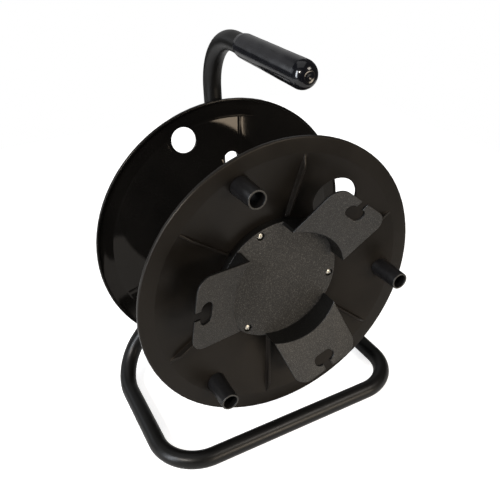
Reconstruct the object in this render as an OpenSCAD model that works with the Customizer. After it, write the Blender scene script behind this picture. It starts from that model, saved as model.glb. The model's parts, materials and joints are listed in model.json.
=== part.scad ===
// Extension cord reel: a hand-wound storage spool on a bent-tube floor stand.
// Units are millimetres. The hub side of the spool faces -Y, +Z is up, and the
// origin is the bottom centre of the whole object.
//
// The modules work in the reel frame: Y = 0 is the rim plane of the front
// flange, Y grows towards the handle post, and Z = 0 is the axle line.
// place() moves the reel frame into the object frame.

/* [Spool] */
// Outside diameter of both flanges
flange_d = 304.8; // [290:0.1:320]
// Overall width of the spool, rim to rim
spool_w = 136.9; // [120:0.1:160]
// Wall thickness of the moulded flanges
flange_t = 2.5; // [2:0.1:3.5]
// Depth of the flat centre behind the rim plane
dish = 17.8; // [14:0.1:22]
// Outside diameter of the winding drum
drum_d = 135; // [126:0.5:142]
// Wall thickness of the winding drum
drum_t = 2.5; // [2:0.1:4]
// Angle of the first winding peg above +X at rest
spool_phase = -9.7; // [-60:0.1:60]
// Thickness of the stiffening ribs on the flanges
rib_t = 2.2; // [1.5:0.1:4]
// Height of the stiffening ribs above the flange face
rib_h = 5.8; // [3:0.1:6.5]

/* [Winding pegs] */
// Distance of the peg centres in from the flange edge
peg_inset = 27.4; // [25:0.1:34]
// Outside diameter of a winding peg at the flange
peg_d = 20; // [16:0.1:24]
// Outside diameter of a winding peg at its tip
peg_tip_d = 18.4; // [16:0.1:22]
// Wall thickness of a winding peg at its tip
peg_t = 1.9; // [1.2:0.1:3]
// How far the peg tips stand in front of the rim plane
peg_reach = 29.2; // [20:0.1:40]

/* [Hub plate] */
// Height of the hub plate above the flat centre of the flange
hub_lift = 8.5; // [7:0.1:12]
// Thickness of the hub plate and its tabs
tab_t = 2.7; // [2:0.1:3.5]
// Width of each plug tab
tab_w = 77; // [60:0.5:84]
// Distance from the axle to the outer end of a plug tab
tab_reach = 110; // [102:0.5:118]
// Height of the plug tab corners above the hub plate
tab_lift = 20.7; // [12:0.1:26]
// Forward slope of the plug tabs in degrees
tab_tilt = 17.4; // [8:0.1:22]
// Width of the cord slot in a plug tab
slot_w = 8.5; // [6:0.1:11]
// Width of the cross bar of the T-shaped cord slot
slot_bar = 23; // [18:0.5:30]
// Height of the cross bar of the T-shaped cord slot
slot_h = 12.5; // [9:0.1:15]

/* [Cord openings] */
// Diameter of the cord hole in the front flange
cord_hole_d = 45.4; // [30:0.1:52]
// Distance of the cord hole from the axle
cord_hole_r = 98.3; // [96:0.1:104]
// Diameter of the three outer holes in the rear flange
rear_hole_d = 26.4; // [16:0.1:32]
// Diameter of the small hole in the rear flange
small_hole_d = 18.6; // [10:0.1:24]

/* [Stand] */
// Outside diameter of the stand tube
tube_d = 19.05; // [17:0.05:21]
// Wall thickness of the stand tube
tube_t = 1.5; // [1.2:0.1:2]
// Height of the axle above the floor
axle_h = 182; // [176:0.1:200]
// Overall width of the base
base_w = 309.5; // [290:0.5:340]
// Centre-line radius of the four bends of the base
bend_r = 46.6; // [40:0.1:56]
// How far the front bar stands in front of the rim plane, centre line
front_reach = 19.4; // [10:0.1:40]
// Gap between the rear flange rim and the handle post
post_gap = 3.1; // [2.5:0.1:12]

/* [Handle] */
// Centre-line radius of the handle bend
handle_bend_r = 58; // [45:0.5:60]
// Height of the handle corner above the axle, centre line
handle_z = 221; // [210:0.5:250]
// Distance from the post centre line to the front end of the grip
handle_reach = 189.5; // [170:0.5:210]
// Droop of the handle towards the front in degrees
handle_droop = 2.1; // [0:0.1:6]
// Length of the hand grip
grip_len = 115.5; // [90:0.5:124]
// Outside diameter of the hand grip at its front end
grip_d = 24.3; // [23:0.1:30]
// Outside diameter of the hand grip at its rear end
grip_rear_d = 22.6; // [22:0.1:28]

/* [Axle] */
// Diameter of the axle bolt
axle_d = 9.5; // [8:0.1:11]
// Wall thickness of the bushes
bush_t = 4.2; // [3:0.1:6]
// Radial running clearance of the two bushes
bush_gap = 0.07; // [0.02:0.01:0.1]
// End clearance of the spool against each washer
end_gap = 0.2; // [0.1:0.05:0.5]

/* [Hidden] */

// Finish colours
black_moulding = [0.09, 0.085, 0.08];
grey_moulding = [0.16, 0.155, 0.15];
peg_moulding = [0.07, 0.07, 0.085];
black_paint = [0.05, 0.05, 0.05];
black_vinyl = [0.03, 0.03, 0.035];
zinc = [0.65, 0.65, 0.62];
nylon = [0.86, 0.85, 0.8];

// Radii of the flange, from the edge inwards
rim_r = flange_d / 2;
lip_w = 2.5;                            // turned-back edge of the rim
lip_h = 4.4;
band_w = 19.4;                          // width of the rim band
band_r = rim_r - band_w;
band_y = 2;                             // face height where the band begins
rib_fade = 9.5;                         // length over which a rib crest turns down
rib_end = band_r - rib_fade;
hub_r = drum_d / 2 - 1.5;
seat_r = hub_r + 0.5;                   // flat seat under the hub plate
screw_in = 6;                           // screws in from the hub plate's edge
screw_r = hub_r - screw_in;             // both circles of three screws
drum_r = drum_d / 2;
barrel_bore = drum_r - drum_t;
cone_k = (dish - band_y) / (band_r - seat_r);
wall_y = flange_t * sqrt(1 + cone_k * cone_k);
web_y = dish + flange_t + 0.3;          // back of the centre web, drum seat

// Centre cup, bearing boss and bushes
bush_bore = axle_d / 2 + bush_gap;
bush_r = axle_d / 2 + bush_t;
bush_flange = 1.6;
bush_lip = 3.5;                         // how far the bush's flange stands out
boss_t = 4;
boss_r = bush_r + boss_t;
boss_len = 16;
cup_room = 7;                           // room for the nut round the boss
cup_r = boss_r + cup_room;
cup_depth = 10.2;
cup_y = dish + cup_depth;               // floor of the cup, outer face
cup_t = flange_t + 0.3;

// Drum spigot and screw bosses
spigot_t = 2.4;
spigot_h = 5;
boss_h = 24;
drum_boss_r = barrel_bore - screw_r - 0.4;  // clear of the barrel; a web joins them
boss_web = 6;                           // width of that web
notch_gap = 0.6;                        // spigot notch round the web
pilot_h = 20;
thread_r = 1.95;
screw_gap = 0.25;
screw_len = 22;
head_r = 3.5;
head_h = 2.3;
head_gap = 0.6;                         // recess round a head
cross_w = 0.8;                          // cross recess
cross_len = 3.8;
cross_h = 1.1;

// Hub plate
hub_y = dish - hub_lift;                // front face of the plate
skirt_t = 2.4;
head_seat = hub_y + 3.1;                // seat of the screw heads
head_post_r = head_r + head_gap + 1.1;  // posts under the screw recesses
tab_round = 17;
tab_wall_r = hub_r - 0.15;              // outside of the walls that carry the tabs
tab_s = sqrt(hub_r * hub_r - tab_w * tab_w / 4);  // tab corner from the axle
slot_in = 13.2;                         // cross bar in from the tab's end
slot_s = tab_reach - slot_in;           // middle of the T cross bar

// Pegs and holes
peg_r = rim_r - peg_inset;
peg_foot_t = 2;
peg_foot_w = 3;
peg_foot_r = peg_d / 2 + peg_foot_w;
rear_hole_in = 26.4;
rear_hole_r = rim_r - rear_hole_in;
small_hole_r = 88.8;
small_hole_at = 96;                     // degrees past the first peg

// Stand tube
tube_r = tube_d / 2;
tube_in = tube_r - tube_t;
draw = 0.05;                            // wall drawn off each face in a bend
lap = 0.3;                              // straight runs enter the bends
flat_t = 2 * tube_t;                    // flattened ends of the base tube
flat_w = PI * (tube_d - tube_t) / 2 + tube_t;
flat_room = 9.6;                        // flat stretch past the round end
flat_len = flat_w / 2 + flat_room;      // fully flat, from the axle
taper_len = 32;
post_y = spool_w + post_gap + tube_r;   // centre line of the handle post
flat_y = post_y + tube_r;               // front face of the front flat
leg_y = flat_y + flat_t;                // centre plane of the rear legs
side_x = base_w / 2 - tube_r;
base_drop = axle_h - tube_r;            // base centre line below the axle
side_end = leg_y - bend_r;
leg_len = sqrt(side_x * side_x + base_drop * base_drop);
leg_ang = atan(base_drop / side_x);
handle_turn = 90 + handle_droop;
handle_tan = handle_bend_r * tan(handle_turn / 2);
grip_centre = handle_reach - grip_d / 2; // centre of the round grip end
grip_start = handle_reach - grip_len;
tube_end = grip_centre - 1.3;           // the handle tube ends inside the grip
dimple_r = 3.8;                         // ball that sinks the grip's end
dimple_out = grip_d / 2 + 2;            // its centre from the grip's centre
dimple_at = (pow(dimple_out, 2) + pow(grip_d / 2, 2) - pow(dimple_r, 2)) / (2 * dimple_out);
dimple_w = sqrt(pow(grip_d / 2, 2) - pow(dimple_at, 2));
weld_len = 20;

// Axle stack, front to rear
hole_gap = 0.25;                        // clearance holes on the axle
hole_r = axle_d / 2 + hole_gap;
nut_r = 1.5 * axle_d / 2 / cos(30);
washer_t = 1.5;
washer_r = bush_r + 2.5;
sleeve_t = 3;
lock_h = 9.7;
collar_h = 2.5;                         // locking collar of the lock nut
collar_r = 0.78 * nut_r;
clamp_h = 8.4;
head_y = flat_y + 2 * flat_t + washer_t;
head_t = 6;
wash_front = cup_y - bush_flange - end_gap - washer_t;
wash_rear = spool_w - cup_y + bush_flange + end_gap;
lock_y = wash_front - lock_h;
bolt_end = lock_y - 0.8;
clamp_y = post_y - tube_r - clamp_h;

// The object's box runs from the rim of the dimple in the grip's nose to the
// bolt head or the legs.
nose_y = post_y - (grip_centre + dimple_at) * cos(handle_droop) - dimple_w * sin(handle_droop);
tail_y = max(head_y + head_t, leg_y + tube_r);
y_shift = -(nose_y + tail_y) / 2;

function face_y(r) = dish - cone_k * (r - seat_r);
function back_y(r) = face_y(r) + wall_y;
function third(k, off = 0) = spool_phase + off + 120 * (k - 1);

module place() translate([0, y_shift, axle_h]) children();
// Turns +X up to the given angle about the axle line.
module at_angle(a) rotate([0, -a, 0]) children();
module at_screw(k) at_angle(third(k)) translate([screw_r, 0, 0]) children();
module at_peg(k) at_angle(third(k)) translate([peg_r, 0, 0]) children();
module rear_side() translate([0, spool_w, 0]) mirror([0, 1, 0]) children();
// Turns a [radius, y] outline about the axle line.
module lathe(n = 96) rotate([-90, 0, 0]) rotate_extrude($fn = n) children();
// Cylinder along +Y from y0 to y1.
module rod(y0, y1, r, n = 48) translate([0, y0, 0]) rotate([-90, 0, 0])
  cylinder(h = y1 - y0, r = r, $fn = n);
module ring(y0, y1, r, bore, n = 48) difference() {
  rod(y0, y1, r, n);
  rod(y0 - 1, y1 + 1, bore, n);
}
module hexagon(y0, y1) rod(y0, y1, nut_r, 6);

// ---------------------------------------------------------------- flanges

// Rim, dished wall, centre web, bearing cup and drum spigot.
module flange_shell() lathe(120) polygon([
  [bush_r, cup_y], [cup_r, cup_y], [cup_r + 2.5, dish], [seat_r, dish],
  [band_r, band_y], [band_r + 1, band_y - 0.7], [rim_r - 1.6, 0],
  [rim_r - 0.4, 0.5], [rim_r, 1.4], [rim_r, lip_h - 0.4], [rim_r - 0.5, lip_h],
  [rim_r - lip_w + 0.5, lip_h], [rim_r - lip_w, flange_t + 0.4],
  [band_r + 1.6, band_y + wall_y - 0.5], [band_r, back_y(band_r)],
  [drum_r + 1, back_y(drum_r + 1)], [drum_r + 1, web_y], [barrel_bore, web_y],
  [barrel_bore, web_y + spigot_h], [barrel_bore - spigot_t, web_y + spigot_h],
  [barrel_bore - spigot_t, web_y], [cup_r + 4.6, web_y],
  [cup_r + 2.2, cup_y + cup_t], [boss_r, cup_y + cup_t],
  [boss_r, cup_y + boss_len], [bush_r, cup_y + boss_len]
]);

module rib() translate([0, 0, -rib_t / 2]) linear_extrude(rib_t) polygon([
  [seat_r + 0.1, face_y(seat_r) + 1], [seat_r + 0.1, face_y(seat_r) - rib_h],
  [rib_end, face_y(rib_end) - rib_h], [band_r + 2.5, band_y], [band_r, band_y + 1]
]);

// Shell with its ribs, and with the screw holes and the notches that let the
// drum's screw bosses reach the web.
module flange_body() difference() {
  union() {
    flange_shell();
    for (k = [0:5]) at_angle(spool_phase + 30 + 60 * k) rib();
  }
  for (k = [1:3]) at_screw(k) {
    rod(dish - 1, web_y + 1, thread_r + screw_gap, 24);
    rod(web_y, web_y + spigot_h + 1, drum_boss_r + 1, 32);
    translate([0, web_y, -boss_web / 2 - notch_gap])
      cube([drum_r - screw_r, spigot_h + 1, boss_web + 2 * notch_gap]);
  }
}

module front_flange() color(black_moulding) place() difference() {
  flange_body();
  at_angle(spool_phase + 60) translate([cord_hole_r, 0, 0])
    rod(-5, web_y + 4, cord_hole_d / 2, 72);
  for (k = [1:3]) at_peg(k) rod(-5, web_y, peg_d / 2);
}

module rear_flange() color(black_moulding) place() rear_side() difference() {
  flange_body();
  for (k = [1:3]) at_angle(third(k)) translate([rear_hole_r, 0, 0])
    rod(-5, web_y, rear_hole_d / 2, 60);
  at_angle(spool_phase + small_hole_at) translate([small_hole_r, 0, 0])
    rod(-5, web_y, small_hole_d / 2);
}

// ------------------------------------------------------------------- drum

module drum_boss() translate([0, web_y + 0.3, 0]) {
  rod(0, boss_h, drum_boss_r, 32);
  translate([0, 0, -boss_web / 2]) cube([barrel_bore - screw_r + 1, boss_h, boss_web]);
}

module drum_barrel() color(black_moulding) place() difference() {
  union() {
    ring(web_y, spool_w - web_y, drum_r, barrel_bore, 96);
    for (k = [1:3]) at_screw(k) drum_boss();
    rear_side() for (k = [1:3]) at_screw(k) drum_boss();
  }
  for (k = [1:3]) at_screw(k) rod(web_y - 1, web_y + pilot_h, thread_r, 24);
  rear_side() for (k = [1:3]) at_screw(k) rod(web_y - 1, web_y + pilot_h, thread_r, 24);
}

// -------------------------------------------------------------- hub plate

// Plan of a plug tab: x outwards from the axle, y along the tangent.
module tab_outline() difference() {
  union() {
    translate([tab_s - 10, -tab_w / 2]) square([tab_reach - tab_round - tab_s + 10, tab_w]);
    translate([tab_reach - tab_round - 1, tab_round - tab_w / 2])
      square([tab_round + 1, tab_w - 2 * tab_round]);
    for (s = [-1, 1]) translate([tab_reach - tab_round, s * (tab_w / 2 - tab_round)])
      circle(r = tab_round, $fn = 64);
  }
  circle(r = hub_r - tab_t, $fn = 96);
  for (s = [-1, 1]) translate([slot_s, s * (slot_bar - slot_h) / 2])
    circle(r = slot_h / 2, $fn = 40);
  translate([slot_s - slot_h / 2, -(slot_bar - slot_h) / 2]) square([slot_h, slot_bar - slot_h]);
  translate([slot_s, -slot_w / 2]) square([tab_reach, slot_w]);
}

// Everything more than depth behind the sloping front face of a tab.
module behind_tab(depth) translate([tab_s, hub_y - tab_lift, 0]) rotate([0, 0, -tab_tilt])
  translate([-60, depth, -tab_w]) cube([180, 90, 2 * tab_w]);

// Plug tab on its curved wall, which rises out of the edge of the plate.
module tab() difference() {
  intersection() {
    translate([0, hub_y + 1, 0]) rotate([90, 0, 0]) linear_extrude(100) tab_outline();
    behind_tab(0);
  }
  difference() {
    behind_tab(tab_t);
    rod(hub_y - 90, dish, tab_wall_r, 120);
  }
}

module hub_plate() color(grey_moulding) place() difference() {
  union() {
    lathe(120) polygon([
      [0, hub_y], [hub_r - 0.5, hub_y], [hub_r, hub_y + 0.5], [hub_r, dish],
      [hub_r - skirt_t, dish], [hub_r - skirt_t, hub_y + tab_t], [0, hub_y + tab_t]
    ]);
    for (k = [1:3]) at_screw(k) rod(hub_y + tab_t - 1, dish - 0.1, head_post_r, 32);
    for (k = [1:3]) at_angle(third(k, 60)) tab();
  }
  for (k = [1:3]) at_screw(k) {
    rod(hub_y - 1, head_seat, head_r + head_gap, 32);
    rod(hub_y, dish + 1, thread_r + screw_gap, 24);
  }
}

// ----------------------------------------------------------------- screws

// Pan-head screw with a cross recess; its head is seated at seat.
module pan_screw(seat) difference() {
  lathe(32) polygon([
    [0, seat - head_h], [1.6, seat - head_h], [2.8, seat - head_h + 0.4],
    [head_r - 0.1, seat - 1.1], [head_r, seat], [thread_r, seat],
    [thread_r, seat + screw_len - 1], [thread_r - 0.8, seat + screw_len],
    [0, seat + screw_len]
  ]);
  for (a = [20, 110]) rotate([0, a, 0])
    translate([-cross_len / 2, seat - head_h - 0.2, -cross_w / 2])
      cube([cross_len, cross_h + 0.2, cross_w]);
}

module hub_screw(k) color(zinc) place() at_screw(k) pan_screw(head_seat);
module hub_screw_1() hub_screw(1);
module hub_screw_2() hub_screw(2);
module hub_screw_3() hub_screw(3);

module drum_screw(k) color(zinc) place() rear_side() at_screw(k) pan_screw(dish);
module drum_screw_1() drum_screw(1);
module drum_screw_2() drum_screw(2);
module drum_screw_3() drum_screw(3);

// ------------------------------------------------------------------- pegs

// Everything in front of a cone that lies depth behind the dished face.
module under_wall(depth, edge) lathe(120) polygon([
  [seat_r, -60], [edge, -60], [edge, face_y(edge) + depth], [seat_r, dish + depth]
]);

// Tapered tube pushed through the flange from behind; its foot is a collar
// that follows the slope of the wall and stays clear of the rim band.
module winding_peg(k) color(peg_moulding) place() difference() {
  union() {
    at_peg(k) translate([0, -peg_reach, 0]) rotate([-90, 0, 0])
      cylinder(h = peg_reach, r1 = peg_tip_d / 2, r2 = peg_d / 2, $fn = 48);
    intersection() {
      at_peg(k) rod(-1, dish, peg_d / 2);
      under_wall(wall_y + peg_foot_t, rim_r - 8);
    }
    intersection() {
      at_peg(k) rod(-1, dish + 2, peg_foot_r);
      difference() {
        under_wall(wall_y + peg_foot_t, band_r - 0.2);
        under_wall(wall_y, band_r);
      }
    }
  }
  at_peg(k) rod(-peg_reach - 1, dish + 10, peg_tip_d / 2 - peg_t, 40);
}
module winding_peg_1() winding_peg(1);
module winding_peg_2() winding_peg(2);
module winding_peg_3() winding_peg(3);

// ----------------------------------------------------------------- bushes

module bush() lathe(48) polygon([
  [bush_bore, cup_y - bush_flange], [bush_r + bush_lip, cup_y - bush_flange],
  [bush_r + bush_lip, cup_y], [bush_r, cup_y], [bush_r, cup_y + boss_len + 1],
  [bush_bore, cup_y + boss_len + 1]
]);
module front_bush() color(nylon) place() bush();
module rear_bush() color(nylon) place() rear_side() bush();

// ------------------------------------------------------------- axle stack

module axle_bolt() color(zinc) place() {
  rod(bolt_end, head_y + 1, axle_d / 2);
  hexagon(head_y, head_y + head_t);
}
module frame_washer() color(zinc) place() ring(head_y - washer_t, head_y, washer_r, hole_r);
module clamp_nut() color(zinc) place() difference() {
  hexagon(clamp_y, clamp_y + clamp_h);
  rod(clamp_y - 1, clamp_y + clamp_h + 1, axle_d / 2);
}
module spacer_sleeve() color(zinc) place() ring(wash_rear + washer_t, clamp_y, hole_r + sleeve_t, hole_r);
module rear_washer() color(zinc) place() ring(wash_rear, wash_rear + washer_t, washer_r, hole_r);
module front_washer() color(zinc) place() ring(wash_front, wash_front + washer_t, washer_r, hole_r);
// Hexagon nut with the round collar of its locking insert in front.
module lock_nut() color(zinc) place() difference() {
  union() {
    hexagon(lock_y + collar_h, wash_front);
    rod(lock_y, lock_y + collar_h, collar_r);
  }
  rod(lock_y - 1, wash_front + 1, axle_d / 2);
}

// ------------------------------------------------------------------ stand

// Straight tube along +Z from z0 to z1.
module tube(z0, z1) translate([0, 0, z0]) difference() {
  cylinder(h = z1 - z0, r = tube_r, $fn = 48);
  translate([0, 0, -1]) cylinder(h = z1 - z0 + 2, r = tube_in, $fn = 48);
}

// Tube bend that leaves the origin along +Y and turns towards +X. Bending
// draws the wall a little thinner, and the straight runs lap its ends.
module elbow(r, turn) translate([r, 0, 0]) rotate([0, 0, 180 - turn])
  rotate_extrude(angle = turn, $fn = 96) translate([r, 0]) difference() {
    circle(r = tube_r - draw, $fn = 48);
    circle(r = tube_in + draw, $fn = 48);
  }

// Wedge in the XY plane, half-widths a and b at its ends, shifted at the end.
module wedge(len, a, b, shift) translate([0, 0, -flat_w]) linear_extrude(2 * flat_w)
  polygon([[0, -a], [len, shift - b], [len, shift + b], [0, a]]);

// Rear leg in its own frame: +Y runs to the rear from the end of the side bar
// and +X climbs to the axle. The flat end sits to the front or the rear of the
// leg's centre plane, so that the two flats lie on each other at the axle.
module leg(side) translate([-side_x, side_end, -base_drop]) rotate([0, -leg_ang, 0]) {
  start = leg_len - flat_len - taper_len;
  elbow(bend_r, 90);
  translate([0, bend_r, 0]) {
    rotate([0, 90, 0]) tube(bend_r - lap, start + lap);
    translate([start, 0, 0]) difference() {
      intersection() {
        rotate([0, 90, 0])
          cylinder(h = taper_len, r1 = tube_r + draw, r2 = flat_w / 2, $fn = 48);
        wedge(taper_len, tube_r + 0.4, flat_t / 2, side * flat_t / 2);
      }
      intersection() {
        rotate([0, 90, 0])
          cylinder(h = taper_len - 2, r1 = tube_in - draw, r2 = flat_w / 2 - tube_t, $fn = 48);
        wedge(taper_len - 2, tube_in + 0.4, 0.1, side * flat_t / 2);
      }
    }
    translate([leg_len, (side + 1) * flat_t / 2 + (1 - side) * lap / 4, 0]) rotate([90, 0, 0])
      linear_extrude(flat_t + (1 - side) * lap / 4) {
        translate([-lap, 0]) circle(r = flat_w / 2, $fn = 64);
        translate([-flat_len - lap, -flat_w / 2]) square([flat_len, flat_w]);
      }
  }
}

module base_frame() color(black_paint) place() difference() {
  union() {
    translate([0, -front_reach, -base_drop]) rotate([0, 90, 0])
      tube(bend_r - side_x - lap, side_x - bend_r + lap);
    for (m = [0, 1]) mirror([m, 0, 0]) {
      translate([-side_x, bend_r - front_reach, -base_drop]) mirror([0, 1, 0]) elbow(bend_r, 90);
      translate([-side_x, 0, -base_drop]) rotate([-90, 0, 0])
        tube(bend_r - front_reach - lap, side_end + lap);
      leg(2 * m - 1);
    }
  }
  rod(flat_y - 5, head_y + 5, hole_r);
}

// Frame with +Z along the handle, origin at the corner of the centre line.
module handle_axis() translate([0, post_y, handle_z]) rotate([90 + handle_droop, 0, 0]) children();

// Fillet welds that fill the gap beside the line where post and flat touch.
module welds() for (m = [0, 1]) mirror([m, 0, 0]) translate([0, flat_y, -weld_len / 2])
  linear_extrude(weld_len) polygon([
    [0.1 * tube_r, -0.075 * tube_r], [0.1 * tube_r, 0], [0.9 * tube_r, 0],
    [0.9 * tube_r, -0.08 * tube_r], [0.76 * tube_r, -0.42 * tube_r]
  ]);

module handle_post() color(black_paint) place() difference() {
  union() {
    translate([0, post_y, 0]) tube(-flat_len, handle_z - handle_tan + lap);
    translate([0, post_y, handle_z - handle_tan]) rotate([90, 0, -90])
      elbow(handle_bend_r, handle_turn);
    handle_axis() tube(handle_tan - lap, tube_end);
    welds();
  }
  rod(post_y - tube_d, flat_y + 10, hole_r);
}

module hand_grip() color(black_vinyl) place() handle_axis() difference() {
  union() {
    rotate_extrude($fn = 64) polygon([
      [0, grip_start], [tube_r + 0.6, grip_start], [grip_rear_d / 2, grip_start + 6],
      [grip_d / 2, grip_centre], [0, grip_centre]
    ]);
    translate([0, 0, grip_centre]) sphere(r = grip_d / 2, $fn = 64);
  }
  translate([0, 0, grip_start - 1]) cylinder(h = tube_end - grip_start + 1, r = tube_r, $fn = 48);
  translate([0, 0, grip_centre + dimple_out]) sphere(r = dimple_r, $fn = 32);
}

// ------------------------------------------------------------------ nodes

base_frame();
handle_post();
hand_grip();
axle_bolt();
frame_washer();
clamp_nut();
spacer_sleeve();
rear_washer();
front_washer();
lock_nut();
front_flange();
rear_flange();
drum_barrel();
front_bush();
rear_bush();
hub_plate();
hub_screw_1();
hub_screw_2();
hub_screw_3();
drum_screw_1();
drum_screw_2();
drum_screw_3();
winding_peg_1();
winding_peg_2();
winding_peg_3();
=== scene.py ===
"""Looks of a hand-wound extension cord reel, dressed on its packed construction.

Shapes are worked out in the reel frame, in millimetres: Y = 0 is the rim plane of the
front flange, Y grows towards the handle post, and Z = 0 is the axle line. ReelFrame
carries them into the row frame, in metres.
"""

from __future__ import annotations

import json
import logging
import math
from dataclasses import dataclass, field, replace
from enum import Enum
from typing import Callable, Sequence

import bmesh
import bpy
import numpy as np
from mathutils import Matrix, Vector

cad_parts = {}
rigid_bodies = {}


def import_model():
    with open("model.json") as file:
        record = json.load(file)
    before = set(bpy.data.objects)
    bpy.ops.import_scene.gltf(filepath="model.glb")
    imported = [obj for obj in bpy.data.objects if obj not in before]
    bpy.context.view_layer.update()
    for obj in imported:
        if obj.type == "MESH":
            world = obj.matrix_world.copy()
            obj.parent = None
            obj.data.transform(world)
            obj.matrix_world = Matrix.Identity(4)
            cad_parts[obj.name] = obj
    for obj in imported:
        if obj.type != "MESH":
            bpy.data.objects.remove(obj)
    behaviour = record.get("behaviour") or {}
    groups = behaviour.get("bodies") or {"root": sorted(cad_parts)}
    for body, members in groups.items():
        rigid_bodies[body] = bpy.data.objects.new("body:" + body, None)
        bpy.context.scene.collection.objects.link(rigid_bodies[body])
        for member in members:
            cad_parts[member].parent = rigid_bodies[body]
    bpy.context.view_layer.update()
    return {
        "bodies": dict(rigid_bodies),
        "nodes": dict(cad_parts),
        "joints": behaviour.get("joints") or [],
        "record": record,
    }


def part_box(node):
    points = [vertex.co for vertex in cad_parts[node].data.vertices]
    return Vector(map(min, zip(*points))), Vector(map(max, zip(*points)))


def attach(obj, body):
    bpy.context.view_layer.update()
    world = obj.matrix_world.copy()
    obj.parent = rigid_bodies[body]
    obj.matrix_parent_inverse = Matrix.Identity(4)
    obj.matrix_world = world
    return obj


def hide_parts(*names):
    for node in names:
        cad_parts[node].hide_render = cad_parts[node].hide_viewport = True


log = logging.getLogger("cord_reel")

Array = np.ndarray
Triple = tuple[float, float, float]
Piece = bpy.types.Object
Socket = bpy.types.NodeSocket
Tree = bpy.types.NodeTree

MM = 0.001
MERGE = 1e-7  # metres: points closer than this are one
TAU = 2 * math.pi
THIRDS = (0.0, 120.0, 240.0)
X_AXIS, Y_AXIS, Z_AXIS = np.eye(3)


class Body(Enum):
    """Rigid bodies of the reel."""

    STAND = "stand"
    SPOOL = "spool"


class Side(Enum):
    """The two flanges of the spool."""

    FRONT = "front_flange"
    REAR = "rear_flange"


# ---- geometry helpers ----


def polar(angle: float | Array, radius: float | Array) -> tuple[Array, Array]:
    """Point at a radius and an angle above +X about the axle.

    Args:
        angle: degrees, counter-clockwise seen from the front.
        radius: distance from the axle.

    Returns:
        The x and z of the point.
    """
    a = np.radians(angle)
    return radius * np.cos(a), radius * np.sin(a)


def smoothstep(x: Array) -> Array:
    """Rises from 0 to 1 with flat ends: 3x^2 - 2x^3 of x held between 0 and 1."""
    t = np.clip(x, 0.0, 1.0)
    return t * t * (3 - 2 * t)


def eased(line: Array, reach: int) -> Array:
    """Open polyline with its corners softened by a running mean; both ends stay.

    Args:
        line: points, evenly spaced.
        reach: how many neighbours on each side join in the mean.

    Returns:
        As many points as were given.
    """
    padded = np.pad(line, ((reach, reach), (0, 0)), mode="reflect", reflect_type="odd")
    width = 2 * reach + 1
    return sum(padded[k : k + len(line)] for k in range(width)) / width


def filleted(corners: Sequence[Triple], closed: bool = True, steps: int = 4) -> Array:
    """Polyline with each corner rounded by an arc tangent to both of its sides.

    The arc starts radius * tan(turn / 2) before the corner, cut down where a side is
    too short for it, and its points turn by equal angles.

    Args:
        corners: x, y and fillet radius of each corner.
        closed: whether the last corner joins the first.
        steps: points on each arc, less one.

    Returns:
        An array of n points by 2.
    """
    p = np.array([c[:2] for c in corners], float)
    count = len(p)
    out: list[Array] = []
    for i, (_, _, radius) in enumerate(corners):
        if radius <= 0 or (not closed and i in (0, count - 1)):
            out.append(p[i : i + 1])
            continue
        to_prev, to_next = p[i - 1] - p[i], p[(i + 1) % count] - p[i]
        len_prev, len_next = np.linalg.norm(to_prev), np.linalg.norm(to_next)
        to_prev, to_next = to_prev / len_prev, to_next / len_next
        half = math.acos(float(np.clip(to_prev @ to_next, -1, 1))) / 2
        if half > math.radians(89.5):
            out.append(p[i : i + 1])
            continue
        tangent = min(radius / math.tan(half), 0.45 * len_prev, 0.45 * len_next)
        r = tangent * math.tan(half)
        middle = (to_prev + to_next) / np.linalg.norm(to_prev + to_next)
        centre = p[i] + middle * (r / math.sin(half))
        start, end = p[i] + to_prev * tangent - centre, p[i] + to_next * tangent - centre
        a0, a1 = math.atan2(start[1], start[0]), math.atan2(end[1], end[0])
        turn = (a1 - a0 + math.pi) % TAU - math.pi
        a = a0 + turn * np.linspace(0, 1, steps + 1)
        out.append(centre + r * np.stack([np.cos(a), np.sin(a)], 1))
    return np.concatenate(out)


def densified(points: Array, step: float, closed: bool = True) -> Array:
    """Adds points on each side of a polyline so that none is longer than step."""
    ends = np.roll(points, -1, axis=0) if closed else points[1:]
    starts = points if closed else points[:-1]
    out = []
    for a, b in zip(starts, ends):
        n = max(1, math.ceil(float(np.linalg.norm(b - a)) / step))
        out.append(a + (b - a) * (np.arange(n) / n)[:, None])
    if not closed:
        out.append(points[-1:])
    return np.concatenate(out)


def inset_loop(loop: Array, depth: float) -> Array:
    """Moves a counter-clockwise closed outline inwards by depth, mitred at its corners.

    Each point moves along (n1 + n2) / (1 + n1.n2), where n1 and n2 are the inward
    unit normals of the sides that meet there.
    """
    side = np.roll(loop, -1, axis=0) - loop
    side /= np.linalg.norm(side, axis=1, keepdims=True)
    normal = np.stack([-side[:, 1], side[:, 0]], 1)
    before = np.roll(normal, 1, axis=0)
    mitre = (normal + before) / (1 + np.sum(normal * before, 1, keepdims=True)).clip(0.3)
    return loop + depth * mitre


def turns(count: int) -> Array:
    """Evenly spaced angles round a full turn, in radians."""
    return np.arange(count) * (TAU / count)


def ringed(r: Array, y: Array, a: Array, at: Sequence[float] = (0.0, 0.0)) -> Array:
    """Points at radius r, height y and turn a about a line along the axle.

    Args:
        r: radii.
        y: heights, which spread with r over the angles.
        a: angles in radians.
        at: x and z of the line.

    Returns:
        A grid with x, y and z last.
    """
    return np.stack(np.broadcast_arrays(at[0] + r * np.cos(a), y, at[1] + r * np.sin(a)), -1)


def revolved(profile: Array, columns: int) -> Array:
    """Grid of a (radius, y) profile turned about the axle line."""
    return ringed(profile[:, :1], profile[:, 1:], turns(columns))


def arc(centre: Array, r: float, into: Array, out: Array, a: Array) -> tuple[Array, Array]:
    """Points and tangents of an arc that starts along into and bends towards out."""
    sin, cos = np.sin(a)[:, None], np.cos(a)[:, None]
    return centre + r * (sin * into - cos * out), cos * into + sin * out


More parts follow.
